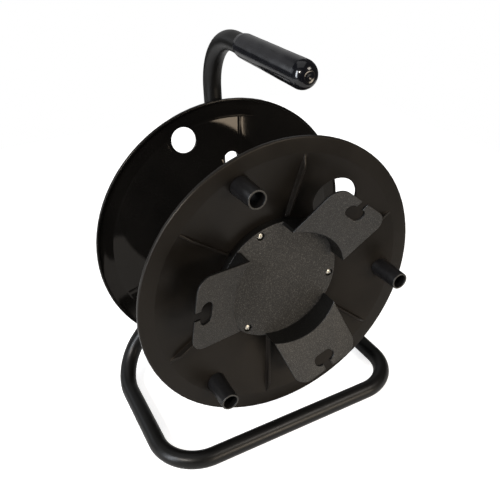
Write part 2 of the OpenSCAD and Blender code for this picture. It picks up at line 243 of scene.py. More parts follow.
def route(*legs: tuple[Array, Array]) -> tuple[Array, Array]:
    """Joins legs of a path, each with its points and one tangent, or one for each point."""
    tangents = [np.broadcast_to(tangent, points.shape) for points, tangent in legs]
    return np.concatenate([points for points, _ in legs]), np.concatenate(tangents)


# ---- objects and nodes ----


def linked(name: str, data: bpy.types.ID, place: Array | None = None, axes: Array | None = None) -> Piece:
    """New object linked to the scene, with its axes, as columns, at a place in metres."""
    thing = bpy.data.objects.new(name, data)
    if place is not None:
        matrix = np.eye(4)
        matrix[:3, :3], matrix[:3, 3] = axes, place
        thing.matrix_world = Matrix(matrix.tolist())
    bpy.context.scene.collection.objects.link(thing)
    return thing


class Workshop:
    """Turns grids of points in the reel frame into pieces, and dresses them."""

    def __init__(self, reel: ReelFrame) -> None:
        """Keeps the frame that places every grid, and builds the shared shader groups."""
        self.reel = reel
        self.groups = Groups()
        self.made: dict[str, bpy.types.Material] = {}

    def grid(self, name: str, points: Array, wrap_rows: bool = False, cap_ends: bool = False) -> Piece:
        """Mesh of quads over a grid, with doubles merged and its faces turned outwards.

        Args:
            name: name of the object.
            points: rows by columns by 3, in the reel frame; the last column joins the first.
            wrap_rows: whether the last row joins the first.
            cap_ends: whether the first and last rows are closed with a flat face.

        Returns:
            The new object.
        """
        rows, cols = points.shape[:2]
        down = np.append(np.arange(rows), 0) if wrap_rows else np.arange(rows)
        ids = down[:, None] * cols + np.append(np.arange(cols), 0)
        quads = np.stack([ids[:-1, :-1], ids[:-1, 1:], ids[1:, 1:], ids[1:, :-1]], -1).reshape(-1, 4)
        faces = [tuple(q) for q in quads.tolist()]
        if cap_ends:
            faces += [tuple(range(cols)), tuple(range((rows - 1) * cols, rows * cols))]
        mesh = bpy.data.meshes.new(name)
        mesh.from_pydata(self.reel.placed(points.reshape(-1, 3)).tolist(), [], faces)
        bm = bmesh.new()
        bm.from_mesh(mesh)
        bmesh.ops.remove_doubles(bm, verts=bm.verts, dist=MERGE)
        bmesh.ops.dissolve_degenerate(bm, dist=MERGE / 10, edges=bm.edges)
        bmesh.ops.recalc_face_normals(bm, faces=bm.faces)
        bm.to_mesh(mesh)
        bm.free()
        return linked(name, mesh)

    def turned(self, name: str, profile: Array, columns: int, closed: bool = True) -> Piece:
        """Surface of revolution of a (radius, y) profile about the axle line."""
        return self.grid(name, revolved(profile, columns), wrap_rows=closed)

    def dress(self, piece: Piece, finish: Finish, body: Body, node: str, angle: float = 32.0) -> None:
        """Shades a piece smooth, gives it its finish and its body, and hides the CAD node that it replaces.

        Args:
            piece: the finished object.
            finish: its finish.
            body: the rigid body that it rides on.
            node: the CAD node that it replaces.
            angle: edges that turn by more than this, in degrees, stay sharp.
        """
        piece.data.shade_smooth()
        piece.data.set_sharp_from_angle(angle=math.radians(angle))
        if finish.name not in self.made:
            self.made[finish.name] = finish.material(self.groups)
        piece.data.materials.clear()
        piece.data.materials.append(self.made[finish.name])
        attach(piece, body.value)
        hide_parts(node)
        log.info("%s rides on %s, %d faces", piece.name, body.value, len(piece.data.polygons))


def combined(piece: Piece, others: Sequence[Piece], operation: str) -> None:
    """Joins or cuts a piece with others by exact booleans, and deletes the others.

    Args:
        piece: the object that is kept.
        others: what is joined to it or cut from it.
        operation: "UNION" or "DIFFERENCE".
    """
    for other in others:
        cut = piece.modifiers.new("cut", "BOOLEAN")
        cut.operation = operation
        cut.solver = "EXACT"
        cut.object = other
    bpy.context.view_layer.update()
    graph = bpy.context.evaluated_depsgraph_get()
    mesh = bpy.data.meshes.new_from_object(piece.evaluated_get(graph))
    piece.modifiers.clear()
    old, piece.data = piece.data, mesh
    mesh.name = piece.name
    bpy.data.meshes.remove(old)
    for other in others:
        bpy.data.meshes.remove(other.data)


class Wiring:
    """Adds nodes to one node tree, with their inputs set or wired."""

    def __init__(self, tree: Tree) -> None:
        """Keeps the tree that the nodes go into."""
        self.tree = tree

    def feed(self, node: bpy.types.Node, inputs: dict) -> None:
        """Gives each named or numbered input a plain value or the socket that feeds it."""
        for key, value in inputs.items():
            if isinstance(value, Socket):
                self.tree.links.new(value, node.inputs[key])
            else:
                node.inputs[key].default_value = value

    def add(self, kind: str, inputs: dict | None = None, **settings: object) -> bpy.types.bpy_prop_collection:
        """Adds a node.

        Args:
            kind: the node's type.
            inputs: a value or a socket for some of its inputs.
            settings: its own properties, which are set before the inputs.

        Returns:
            The node's outputs.
        """
        node = self.tree.nodes.new(kind)
        for name, value in settings.items():
            setattr(node, name, value)
        self.feed(node, inputs or {})
        return node.outputs

    def math(self, operation: str, *values: object) -> Socket:
        """Result of a math node on its values."""
        return self.add("ShaderNodeMath", dict(enumerate(values)), operation=operation)[0]

    def ranged(self, value: Socket, low: float, high: float, first: float = 0.0, last: float = 1.0) -> Socket:
        """A value carried from low and high to first and last, and held between them."""
        ends = {"From Min": low, "From Max": high, "To Min": first, "To Max": last}
        return self.add("ShaderNodeMapRange", {"Value": value, **ends})["Result"]

    def mixed(self, factor: Socket, a: object, b: object) -> Socket:
        """Mixes two numbers, each plain or a socket, by a factor."""
        return self.add("ShaderNodeMix", {0: factor, 2: a, 3: b})[0]

    def tinted(self, factor: Socket, a: object, b: object) -> Socket:
        """Mixes two colours, each plain or a socket, by a factor."""
        a, b = (c if isinstance(c, Socket) else (*c, 1.0) for c in (a, b))
        return self.add("ShaderNodeMix", {0: factor, 6: a, 7: b}, data_type="RGBA")[2]

    def effect(self, group: Tree, where: Socket, size: float) -> bpy.types.bpy_prop_collection:
        """Outputs of a shared group at its own size in metres."""
        return self.add("ShaderNodeGroup", {"Vector": where, "Size": size}, node_tree=group)


# ---- the frame ----


@dataclass(frozen=True)
class SpoolSizes:
    """Driving sizes of the spool, in millimetres and degrees."""

    flange_d: float = 304.8
    spool_w: float = 136.9
    flange_t: float = 2.5
    dish: float = 17.8
    drum_d: float = 135.0
    drum_t: float = 2.5
    phase: float = -9.7
    rib_h: float = 5.8
    band_w: float = 19.4
    band_y: float = 2.0
    lip_w: float = 2.5
    lip_h: float = 4.4
    peg_inset: float = 27.4

    @property
    def rim_r(self) -> float:
        """Outside radius of a flange."""
        return self.flange_d / 2

    @property
    def band_r(self) -> float:
        """Inner edge of the rim band."""
        return self.rim_r - self.band_w

    @property
    def hub_r(self) -> float:
        """Outside radius of the hub plate."""
        return self.drum_d / 2 - 1.5

    @property
    def seat_r(self) -> float:
        """Edge of the flat centre of a flange."""
        return self.hub_r + 0.5

    @property
    def screw_r(self) -> float:
        """Radius of both circles of screws."""
        return self.hub_r - 6

    @property
    def slope(self) -> float:
        """Rise of the dished face for each millimetre of radius."""
        return (self.dish - self.band_y) / (self.band_r - self.seat_r)

    @property
    def wall_y(self) -> float:
        """Wall thickness of the dished part, measured along the axle."""
        return self.flange_t * math.hypot(1, self.slope)

    @property
    def web_y(self) -> float:
        """Back of the centre web."""
        return self.dish + self.flange_t + 0.3

    def face_y(self, r: Array | float) -> Array | float:
        """Height of the dished outer face at a radius."""
        return self.dish - self.slope * (r - self.seat_r)

    def back_y(self, r: Array | float) -> Array | float:
        """Height of the dished inner face at a radius."""
        return self.face_y(r) + self.wall_y

    def on_side(self, grid: Array, side: Side) -> Array:
        """Grid of a front-side shape as it lies on a side of the spool, facing outwards."""
        return grid if side is Side.FRONT else grid * (1, -1, 1) + (0, self.spool_w, 0)


class ReelFrame:
    """Where the reel frame lies in the row frame."""

    def __init__(self, frame: dict, spool: SpoolSizes) -> None:
        """Finds the axle from the joint and the rim plane from the two flanges.

        Args:
            spool: the spool's driving sizes.
        """
        axle = frame["joints"][0]["pos_m"]
        middle = (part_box("front_flange")[0].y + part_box("rear_flange")[1].y) / 2
        self.origin = np.array([axle[0], middle - spool.spool_w / 2 * MM, axle[2]])

    def placed(self, points: Array) -> Array:
        """Carries reel-frame points in millimetres into the row frame in metres."""
        return points * MM + self.origin


# ---- finishes ----


class Groups:
    """Shader effects that several finishes share, each built once."""

    def __init__(self) -> None:
        """Builds the three groups."""
        self.mottle = self.grouped("mottle", self.cloud)
        self.grain = self.grouped("grain", self.pits)
        self.scuffs = self.grouped("scuffs", self.rubs)

    @staticmethod
    def grouped(name: str, effect: Callable[[Wiring, dict], dict[str, Socket]]) -> Tree:
        """Makes a node group with a Vector, a Size in metres and the effect's outputs.

        Args:
            name: name of the group.
            effect: takes the wiring and the inputs of a texture, and returns its outputs.

        Returns:
            The group.
        """
        tree = bpy.data.node_groups.new(name, "ShaderNodeTree")
        for label, kind in (("Vector", "Vector"), ("Size", "Float")):
            tree.interface.new_socket(label, in_out="INPUT", socket_type=f"NodeSocket{kind}")
        wiring = Wiring(tree)
        source = wiring.add("NodeGroupInput")
        texture = {"Vector": source["Vector"], "Scale": wiring.math("DIVIDE", 1.0, source["Size"])}
        results = effect(wiring, texture)
        for label in results:
            tree.interface.new_socket(label, in_out="OUTPUT", socket_type="NodeSocketFloat")
        wiring.add("NodeGroupOutput", results)
        return tree

    @staticmethod
    def cloud(wiring: Wiring, texture: dict) -> dict[str, Socket]:
        """Slow cloudy variation of a surface, from 0 to 1."""
        noise = wiring.add("ShaderNodeTexNoise", {**texture, "Detail": 3.0, "Roughness": 0.55})
        return {"Cloud": wiring.ranged(noise["Fac"], 0.3, 0.7)}

    @staticmethod
    def pits(wiring: Wiring, texture: dict) -> dict[str, Socket]:
        """Fine pits and bumps of an etched mould or a powder coat, with a speck mask."""
        cells = wiring.add("ShaderNodeTexVoronoi", texture, feature="SMOOTH_F1")
        noise = wiring.add("ShaderNodeTexNoise", {**texture, "Detail": 2.0})["Fac"]
        height = wiring.math("MULTIPLY_ADD", cells["Distance"], 0.5, noise)
        return {"Height": height, "Speck": wiring.ranged(noise, 0.52, 0.75)}

    @staticmethod
    def rubs(wiring: Wiring, texture: dict) -> dict[str, Socket]:
        """Sparse long rub marks: a stretched noise kept only where it peaks."""
        across = {"Vector": texture["Vector"], "Rotation": (0.4, 0.9, 0.3), "Scale": (1.0, 0.16, 2.4)}
        where = wiring.add("ShaderNodeMapping", across)["Vector"]
        shape = {"Detail": 5.0, "Distortion": 0.6}
        noise = wiring.add("ShaderNodeTexNoise", {**texture, "Vector": where, **shape})
        return {"Rub": wiring.ranged(noise["Fac"], 0.62, 0.8)}


@dataclass(frozen=True)
class Finish:
    """One finish: its colours, gloss and surface texture, with sizes in metres."""

    name: str
    slot: str
    dark: Triple
    light: Triple
    smooth: float
    rough: float
    specular: float = 0.5
    tint: Triple = (1.0, 1.0, 1.0)
    metallic: float = 0.0
    mottle_size: float = 0.03
    grain_size: float = 0.0008
    grain_height: float = 0.00002
    speck: Triple | None = None
    rub: float = 0.12
    rub_size: float = 0.012
    gloss_way: float = 0.0
    gloss: float = 0.12
    # A plain darker colour for surfaces that don't face gloss_way: painted shade on walls, edges and bores.
    sides: Triple | None = None

    FACING = (0.65, 0.88)  # how far a normal leans to gloss_way where its mask starts and is full

    def material(self, groups: Groups) -> bpy.types.Material:
        """Builds the finish as a node material on object coordinates.

        The colour runs from dark to light with the mottle, specks take their own
        colour, rub marks roughen the surface, and the grain feeds the bump. Where
        gloss_way is set, the side that faces along it has its own roughness, and the
        other sides may take a plain darker colour, which is painted shade.

        Args:
            groups: the shared shader effects.

        Returns:
            The new material.
        """
        material = bpy.data.materials.new(self.name)
        material.use_nodes = True
        wiring = Wiring(material.node_tree)
        coordinates = wiring.add("ShaderNodeTexCoord")
        where = coordinates["Object"]
        cloud = wiring.effect(groups.mottle, where, self.mottle_size)["Cloud"]
        grain = wiring.effect(groups.grain, where, self.grain_size)
        rubbed = wiring.effect(groups.scuffs, where, self.rub_size)["Rub"]
        colour = wiring.tinted(cloud, self.dark, self.light)
        if self.speck is not None:
            colour = wiring.tinted(grain["Speck"], colour, self.speck)
        gloss = wiring.ranged(cloud, 0.0, 1.0, self.smooth, self.rough)
        roughness = wiring.math("MULTIPLY_ADD", rubbed, self.rub, gloss)
        if self.gloss_way:
            facing = self.facing(wiring, coordinates["Normal"])
            roughness = wiring.mixed(facing, roughness, self.gloss)
            # Surfaces that don't face gloss_way get the sides colour, which is painted shade.
            colour = wiring.tinted(facing, self.sides, colour) if self.sides else colour
        bump = wiring.add("ShaderNodeBump", {"Distance": self.grain_height, "Height": grain["Height"]})
        wiring.feed(material.node_tree.nodes["Principled BSDF"], {
            "Base Color": colour, "Metallic": self.metallic, "Roughness": roughness,
            "Specular IOR Level": self.specular, "Specular Tint": (*self.tint, 1.0), "Normal": bump["Normal"],
        })
        return material

    def facing(self, wiring: Wiring, normal: Socket) -> Socket:
        """Mask of the surface that faces +Y or -Y, as gloss_way says; the rest can take painted shade."""
        y = wiring.add("ShaderNodeSeparateXYZ", {0: normal})["Y"]
        return wiring.ranged(y, *(turn * self.gloss_way for turn in self.FACING))


MOULDED_BLACK = Finish(
    "satin_black_moulding", "black_moulding", (0.0048, 0.0040, 0.0033), (0.0062, 0.0052, 0.0042),
    smooth=0.34, rough=0.44, specular=0.18, tint=(1.0, 0.93, 0.86), mottle_size=0.05, grain_size=0.0006,
    grain_height=0.000006,
)
FLANGE_FINISH = {
    Side.FRONT: replace(MOULDED_BLACK, name="front_flange_moulding", gloss_way=1.0),
    # The rear flange is a darker copy of the same moulding: painted shade for its inner face between the
    # flanges.
    Side.REAR: replace(
        MOULDED_BLACK, name="rear_flange_painted_shade_moulding", dark=(0.0026, 0.0024, 0.0022),
        light=(0.0040, 0.0036, 0.0032), gloss_way=-1.0, gloss=0.07,
    ),
}
# Its sides colour is painted shade on the plate's walls, tab edges, skirt and screw recess sides.
PLATE_GRAIN = Finish(
    "etched_grey_moulding", "grey_moulding", (0.011, 0.0108, 0.0103), (0.016, 0.0155, 0.0148),
    smooth=0.30, rough=0.38, specular=0.27, mottle_size=0.06, grain_size=0.0008, grain_height=0.00022,
    speck=(0.074, 0.070, 0.065), rub=0.05, gloss_way=-1.0, gloss=0.54, sides=(0.0026, 0.0025, 0.0023),
)
# Its sides colour is painted shade on the peg's bore and shaft.
PEG_BLACK = Finish(
    "smooth_peg_moulding", "peg_moulding", (0.018, 0.017, 0.0155), (0.034, 0.032, 0.029),
    smooth=0.30, rough=0.40, specular=0.32, mottle_size=0.004, grain_height=0.000008, gloss_way=-1.0,
    gloss=0.5, sides=(0.0042, 0.0040, 0.0042),
)
POWDER_COAT = Finish(
    "satin_powder_coat", "black_paint", (0.0022, 0.0021, 0.0020), (0.0040, 0.0038, 0.0036),
    smooth=0.32, rough=0.40, specular=0.22, mottle_size=0.04, grain_size=0.0012, grain_height=0.000018,
)
DIPPED_VINYL = Finish(
    "glossy_dipped_vinyl", "black_vinyl", (0.0018, 0.0018, 0.0026), (0.0034, 0.0036, 0.0050),
    smooth=0.12, rough=0.22, specular=0.40, mottle_size=0.018, grain_size=0.002, grain_height=0.000006,
    rub=0.25, rub_size=0.008,
)
ZINC_PLATE = Finish(
    "bright_zinc_plate", "zinc", (0.60, 0.58, 0.52), (0.74, 0.73, 0.68),
    smooth=0.26, rough=0.40, metallic=1.0, mottle_size=0.003, grain_size=0.0003, grain_height=0.000005,
)
BUSH_NYLON = Finish(
    "natural_nylon", "nylon", (0.70, 0.68, 0.61), (0.80, 0.78, 0.72),
    smooth=0.38, rough=0.50, mottle_size=0.01, grain_height=0.000008,
)


# ---- flanges ----


@dataclass
class Flange:
    """A dished, ribbed flange with its rim, bearing cup and holes."""

    side: Side
    spool: SpoolSizes
    bush_r: float = 8.95
    boss_r: float = 12.95
    boss_len: float = 16.0
    cup_r: float = 19.95
    cup_rise: float = 10.2
    spigot_t: float = 2.4
    spigot_h: float = 5.0
    between: int = 14
    edge_round: float = 0.5
    rib_end: float = 9.5
    sink_depth: float = 0.28
    sink_w: float = 1.4

    RIB_COLUMNS = (0.0, 0.55, 0.85, 1.02, 1.1, 1.25, 1.5, 1.95, 2.7, 3.6)
    CREST_DROP = (0.0, 0.0, 0.08, 0.25, 0.5)
    FOOT_RISE = (0.9, 0.3, 0.0, 0.0, 0.0)
    # Radius of each hole, after its distance from the axle and its angle past the
    # first screw, or after its distance from the rim where three lie on one circle.
    CORD_HOLE = (60, 98.3, 22.7)
    SMALL_HOLE = (96, 88.8, 9.3)
    OUTER_HOLE = (26.4, 13.2)
    PEG_SEAT_R = 9.9

    def profile(self) -> Array:
        """Closed (radius, y) outline of the wall, from the bush bore out and back."""
        s = self.spool
        cup_y = s.dish + self.cup_rise
        cup_back = cup_y + s.flange_t + 0.3
        bore = s.drum_d / 2 - s.drum_t
        corners = [
            (self.bush_r, cup_y, 0.3), (self.cup_r, cup_y, 1.0), (self.cup_r + 2.5, s.dish, 1.2),
            (s.seat_r, s.dish, 2.0), (s.band_r, s.band_y, 9.0), (s.band_r + 3.2, s.band_y - 0.8, 9.0),
            (s.rim_r - 0.9, 0.0, 0.9), (s.rim_r, 0.9, 0.7), (s.rim_r, s.lip_h, 0.8),
            (s.rim_r - s.lip_w, s.lip_h, 0.7), (s.rim_r - s.lip_w, s.flange_t + 0.4, 0.8),
            (s.band_r + 1.6, s.band_y + s.wall_y - 0.5, 1.5), (s.band_r, s.back_y(s.band_r), 2.0),
            (s.drum_d / 2 + 1, s.back_y(s.drum_d / 2 + 1), 0.5), (s.drum_d / 2 + 1, s.web_y, 0.3),
            (bore, s.web_y, 0), (bore, s.web_y + self.spigot_h, 0.4),
            (bore - self.spigot_t, s.web_y + self.spigot_h, 0.4), (bore - self.spigot_t, s.web_y, 0),
            (self.cup_r + 4.6, s.web_y, 1.5), (self.cup_r + 2.2, cup_back, 1.0),
            (self.boss_r, cup_back, 0.8), (self.boss_r, cup_y + self.boss_len, 0.4),
            (self.bush_r, cup_y + self.boss_len, 0.3),
        ]
        return densified(filleted(corners), 5.0)

    def columns(self) -> tuple[Array, Array, Array, Array]:
        """Columns of the grid: lines beside each rib, then a fan up to the next rib.

        Returns:
            For each column its rib's angle, its offset across the rib in millimetres,
            the share of the fan that it has turned through, and how far down the side
            of the rib it lies, as an index into RIB_COLUMNS (or -1 in the fan).
        """
        across = np.array(self.RIB_COLUMNS)
        near = np.concatenate([-across[:0:-1], across])
        index = np.abs(np.arange(len(near)) - (len(across) - 1))
        fan = np.arange(1, self.between) / self.between
        rib_at = self.spool.phase + 30 + 60 * np.arange(6)
        one_t = np.concatenate([near, np.full(len(fan), across[-1])])
        one_f = np.concatenate([np.zeros(len(near)), fan])
        one_i = np.concatenate([index, np.full(len(fan), -1)])
        at = np.repeat(rib_at, len(one_t))
        return at, np.tile(one_t, 6), np.tile(one_f, 6), np.tile(one_i, 6)

    def rib_height(self, r: Array) -> Array:
        """Height of the rib crest above the face: full, then down to nothing by the band."""
        s = self.spool
        end = s.band_r - self.rib_end
        rise = smoothstep((r - s.seat_r) / 0.9)
        fall = 1 - np.clip((r - end) / (s.band_r + 2.5 - end), 0, 1)
        return s.rib_h * rise * fall

    def surface(self) -> Array:
        """Grid of the shell with its ribs in front and shallow sink marks behind them."""
        s = self.spool
        outline = self.profile()
        at, across, fan, index = self.columns()
        r, y = outline[:, :1], outline[:, 1:]
        lean = np.degrees(np.arcsin(np.clip(self.RIB_COLUMNS[-1] / r, 0, 1)))
        beside = np.degrees(np.arcsin(np.clip(across / r, -1, 1)))
        angle = at + np.where(index >= 0, beside, lean + fan * (60 - 2 * lean))
        # Points of the outline that lie on the ribbed face or the band's start, and behind them.
        front = (np.abs(y - s.face_y(r)) < 0.8) & (r > s.seat_r - 0.5)
        front |= (y < 1.6) & (r > s.band_r - 1) & (r < s.band_r + 4)
        back = (np.abs(y - s.back_y(r)) < 0.3) & (r > s.drum_d / 2 + 2) & (r < s.band_r)
        height = self.rib_height(r)
        crest = len(self.CREST_DROP)
        drop = np.array(self.CREST_DROP + (99.0,) * (len(self.RIB_COLUMNS) - crest) + (99.0,))
        foot = np.array((0.0,) * crest + self.FOOT_RISE + (0.0,))
        lift = np.maximum(height - drop[index], np.minimum(height, foot[index]))
        sink = self.sink_depth * np.exp(-((across / self.sink_w) ** 2)) * (index >= 0)
        y = y - np.where(front, np.maximum(lift, 0), 0) - np.where(back, sink, 0)
        x, z = polar(angle, r)
        return s.on_side(np.stack([x, y + 0 * x, z], -1), self.side)

    def hole_cutter(self, shop: Workshop, angle: float, radius: float, hole_r: float) -> Piece:
        """Cutter for a round hole through the sloping wall, with rounded edges.

        Its rings follow the wall: each ring's height is the wall's height at that
        point of the ring, plus a depth, and its radius flares by a quarter circle
        where it meets either face.

        Args:
            shop: makes the mesh.
            angle: where the hole lies, in degrees.
            radius: distance of its centre from the axle.
            hole_r: radius of the hole.

        Returns:
            The cutter.
        """
        s = self.spool
        a = np.radians(np.arange(0, 90.1, 22.5))
        e, clear = self.edge_round, 6.0
        flare, sunk = e * (1 - np.sin(a)), e * (1 - np.cos(a))
        depth = np.concatenate([[-clear], sunk, s.wall_y - sunk[::-1], [s.wall_y + clear]])
        grow = np.concatenate([[e * 1.2], flare, flare[::-1], [e * 1.2]])
        turn, centre = turns(72), polar(angle, radius)
        rim = ringed(hole_r, 0, turn, centre)
        y = s.face_y(np.hypot(rim[:, 0], rim[:, 2]))[None, :] + depth[:, None]
        rings = ringed(hole_r + grow[:, None], y, turn, centre)
        return shop.grid("cutter", s.on_side(rings, self.side), cap_ends=True)

    def holes(self) -> list[Triple]:
        """Angle, distance and radius of each hole in this flange."""
        s, front = self.spool, self.side is Side.FRONT
        inset, hole_r = (s.peg_inset, self.PEG_SEAT_R) if front else self.OUTER_HOLE
        angle, radius, single_r = self.CORD_HOLE if front else self.SMALL_HOLE
        single = (s.phase + angle, radius, single_r)
        circle = [(s.phase + t, s.rim_r - inset, hole_r) for t in THIRDS]
        return [single, *circle] if front else [*circle, single]

    def build(self, shop: Workshop) -> None:
        """Builds, cuts and dresses the flange."""
        name = self.side.value
        piece = shop.grid(f"dressed_{name}", self.surface(), wrap_rows=True)
        combined(piece, [self.hole_cutter(shop, *hole) for hole in self.holes()], "DIFFERENCE")
        shop.dress(piece, FLANGE_FINISH[self.side], Body.SPOOL, name)


@dataclass
class Drum:
    """The winding drum between the flanges."""

    spool: SpoolSizes

    def build(self, shop: Workshop) -> None:
        """Turns the barrel, with a shallow parting bead round its middle."""
        s = self.spool
        outer, bore = s.drum_d / 2, s.drum_d / 2 - s.drum_t
        mid, bead = s.spool_w / 2, 0.12
        profile = filleted([
            (bore, s.web_y, 0.3), (outer, s.web_y, 0.4), (outer, mid - 0.5, 0.2), (outer + bead, mid, 0.2),
            (outer, mid + 0.5, 0.2), (outer, s.spool_w - s.web_y, 0.4), (bore, s.spool_w - s.web_y, 0.3),
        ])
        shop.dress(shop.turned("dressed_drum_barrel", profile, 160), MOULDED_BLACK, Body.SPOOL, "drum_barrel")


# ---- hub plate ----


@dataclass
class HubPlate:
    """Cover plate with three plug tabs that stand on curved walls."""

    spool: SpoolSizes
    lift: float = 8.5
    tab_t: float = 2.7
    tab_w: float = 77.0
    tab_reach: float = 110.0
    tab_lift: float = 20.7
    tab_tilt: float = 17.4
    tab_round: float = 17.0
    slot_w: float = 8.5
    slot_bar: float = 23.0
    slot_h: float = 12.5
    slot_in: float = 13.2
    edge: float = 0.9
    skirt_t: float = 2.4
    post_r: float = 5.2
    well_r: float = 4.1
    well_h: float = 3.1

    @property
    def plate_y(self) -> float:
        """Front face of the plate."""
        return self.spool.dish - self.lift

    def tab_y(self, s: Array) -> Array:
        """Height of a tab's sloping front face at a distance s out from the axle."""
        r = self.spool.hub_r
        root = math.sqrt(r * r - self.tab_w**2 / 4)
        return self.plate_y - self.tab_lift - math.tan(math.radians(self.tab_tilt)) * (s - root)

    def tab_outline(self) -> Array:
        """Counter-clockwise outline of a tab in plan, with its T-shaped slot.

        x runs out from the axle and y along the tangent. The slot's ends are half
        circles of the bar's height, and its mouth has small rounded corners.
        """
        half, reach, r = self.tab_w / 2, self.tab_reach, self.tab_round
        inner = self.spool.hub_r - self.tab_t
        bar_r, bar_c = self.slot_h / 2, (self.slot_bar - self.slot_h) / 2
        mid = reach - self.slot_in
        neck = self.slot_w / 2
        meet = math.atan2(neck - bar_c, math.sqrt(bar_r**2 - (neck - bar_c) ** 2))
        span = math.asin(half / inner)
        round_out = filleted([
            (inner, -half, 0), (reach, -half, r), (reach, -neck, 1.0), (mid + bar_r * 0.97, -neck, 0.6),
        ], closed=False, steps=14)[1:-1]
        a = np.linspace(-meet, -math.pi, 22)
        lower = np.stack([mid + bar_r * np.cos(a), -bar_c + bar_r * np.sin(a)], 1)
        half_loop = np.concatenate([round_out, lower])
        upper = half_loop[::-1] * (1, -1)
        b = np.linspace(span, -span, 60)
        root = np.stack([inner * np.cos(b), inner * np.sin(b)], 1)
        return densified(np.concatenate([half_loop, upper, root]), 4.0)

    def rounded_sheet(self, outline: Array) -> Array:
        """Rings of a sloping sheet with rounded edges over a plan outline.

        Each ring is the outline moved inwards by e(1 - cos a) at a depth e(1 - sin a),
        for a from 90 degrees at the face to 0 at the side, then the same in reverse.
        """
        a = np.radians(np.linspace(90, 0, 5))
        e = self.edge
        thick = self.tab_t / math.cos(math.radians(self.tab_tilt))
        inward = np.concatenate([e * (1 - np.cos(a)), 0.6 * e * (1 - np.cos(a[::-1]))])
        deep = np.concatenate([e * (1 - np.sin(a)), thick - 0.6 * e * (1 - np.sin(a[::-1]))])
        rings = np.stack([inset_loop(outline, depth) for depth in inward])
        return np.stack([rings[..., 0], self.tab_y(rings[..., 0]) + deep[:, None], rings[..., 1]], -1)

    def wall(self) -> Array:
        """Rings of the curved wall, from inside the plate up to the middle of its tab."""
        half = self.tab_w / 2 - 0.06
        inner, outer = self.spool.hub_r - self.tab_t + 0.05, self.spool.hub_r - 0.15
        loop = []
        for r, way in ((inner, 1), (outer, -1)):
            b = way * np.linspace(-math.asin(half / r), math.asin(half / r), 72)
            loop.append(np.stack([r * np.cos(b), r * np.sin(b)], 1))
        plan = np.concatenate(loop)
        low = np.full(len(plan), self.plate_y + 1.2)
        high = self.tab_y(plan[:, 0]) + self.tab_t / 2
        return np.stack([np.stack([plan[:, 0], y, plan[:, 1]], 1) for y in (low, high)])

    @staticmethod
    def turned_to(grid: Array, angle: float) -> Array:
        """Turns a grid so that its +X points at an angle above +X about the axle."""
        a = math.radians(angle)
        x, z = grid[..., 0], grid[..., 2]
        x, z = x * math.cos(a) - z * math.sin(a), x * math.sin(a) + z * math.cos(a)
        return np.stack([x, grid[..., 1], z], -1)

    def build(self, shop: Workshop) -> None:
        """Joins the plate, the walls and the tabs, and sinks the screw recesses."""
        s = self.spool
        top, inside, low = self.plate_y, s.hub_r - self.skirt_t, s.dish - 0.1
        profile = filleted([
            (0, top, 0), (s.hub_r, top, 0.8), (s.hub_r, s.dish, 0.3), (inside, s.dish, 0.3),
            (inside, top + self.tab_t, 1.0), (0, top + self.tab_t, 0),
        ])
        piece = shop.turned("dressed_hub_plate", densified(profile, 9.0, closed=False), 144, closed=False)
        post = np.array([(0, top + 1.7), (self.post_r, top + 1.7), (self.post_r, low), (0, low)])
        a, e = np.radians(np.linspace(0, 90, 4)), 0.4
        r, floor, above = self.well_r, top + self.well_h, top - 3
        flare = np.stack([r + e * (1 - np.cos(a)), top + e - e * np.sin(a)], 1)
        well = np.concatenate([[(0, floor), (r, floor)], flare, [(r + 0.6, above), (0, above)]])
        parts, cuts = [], []
        for k, third in enumerate(THIRDS):
            at = s.phase + 60 + third
            x, z = polar(s.phase + third, s.screw_r)
            for name, rings in (("tab", self.rounded_sheet(self.tab_outline())), ("wall", self.wall())):
                parts.append(shop.grid(f"{name}_{k}", self.turned_to(rings, at), cap_ends=True))
            parts.append(shop.grid(f"post_{k}", revolved(post, 40) + (x, 0, z)))
            cuts.append(shop.grid(f"well_{k}", revolved(well, 40) + (x, 0, z)))
        combined(piece, parts, "UNION")
        combined(piece, cuts, "DIFFERENCE")
        shop.dress(piece, PLATE_GRAIN, Body.SPOOL, "hub_plate")


# ---- pegs and fastenings ----


@dataclass
class WindingPeg:
    """Tapered hollow peg pushed through the front flange from behind."""

    spool: SpoolSizes
    index: int
    root_d: float = 20.0
    tip_d: float = 18.4
    tip_t: float = 1.9
    reach: float = 29.2
    foot_t: float = 2.0
    foot_w: float = 3.0

    def surface(self) -> Array:
        """Closed grid of the peg: bore, rounded tip, tapered outside and sloping foot.

        Rows in front of the wall lie at plain heights. Rows of the foot follow the
        back of the dished wall, whose height depends on the point's radius.
        """
        s = self.spool
        tip, bore = self.tip_d / 2, self.tip_d / 2 - self.tip_t
        root = self.root_d / 2
        outline = filleted([
            (bore, 0.0, 0), (bore, -self.reach, 0.5), (tip, -self.reach, 0.75), (root, 0.0, 0),
        ], closed=False)
        brim, floor = root + self.foot_w, self.foot_t
        foot = np.array([
            (root, 0.0), (brim, 0.0), (brim, floor - 0.6), (brim - 0.6, floor),
            (bore + 0.3, floor), (bore, floor - 0.3),
        ])
        a, centre = turns(56), polar(s.phase + 120 * (self.index - 1), s.rim_r - s.peg_inset)
        shaft = ringed(outline[:, :1], outline[:, 1:], a, centre)
        base = ringed(foot[:, :1], foot[:, 1:], a, centre)
        base[..., 1] += s.back_y(np.minimum(np.hypot(base[..., 0], base[..., 2]), s.band_r - 0.3))
        return np.concatenate([shaft[1:], base])

    def build(self, shop: Workshop) -> None:
        """Builds and dresses the peg."""
        name = f"winding_peg_{self.index}"
        shop.dress(shop.grid(f"dressed_{name}", self.surface(), wrap_rows=True), PEG_BLACK, Body.SPOOL, name)


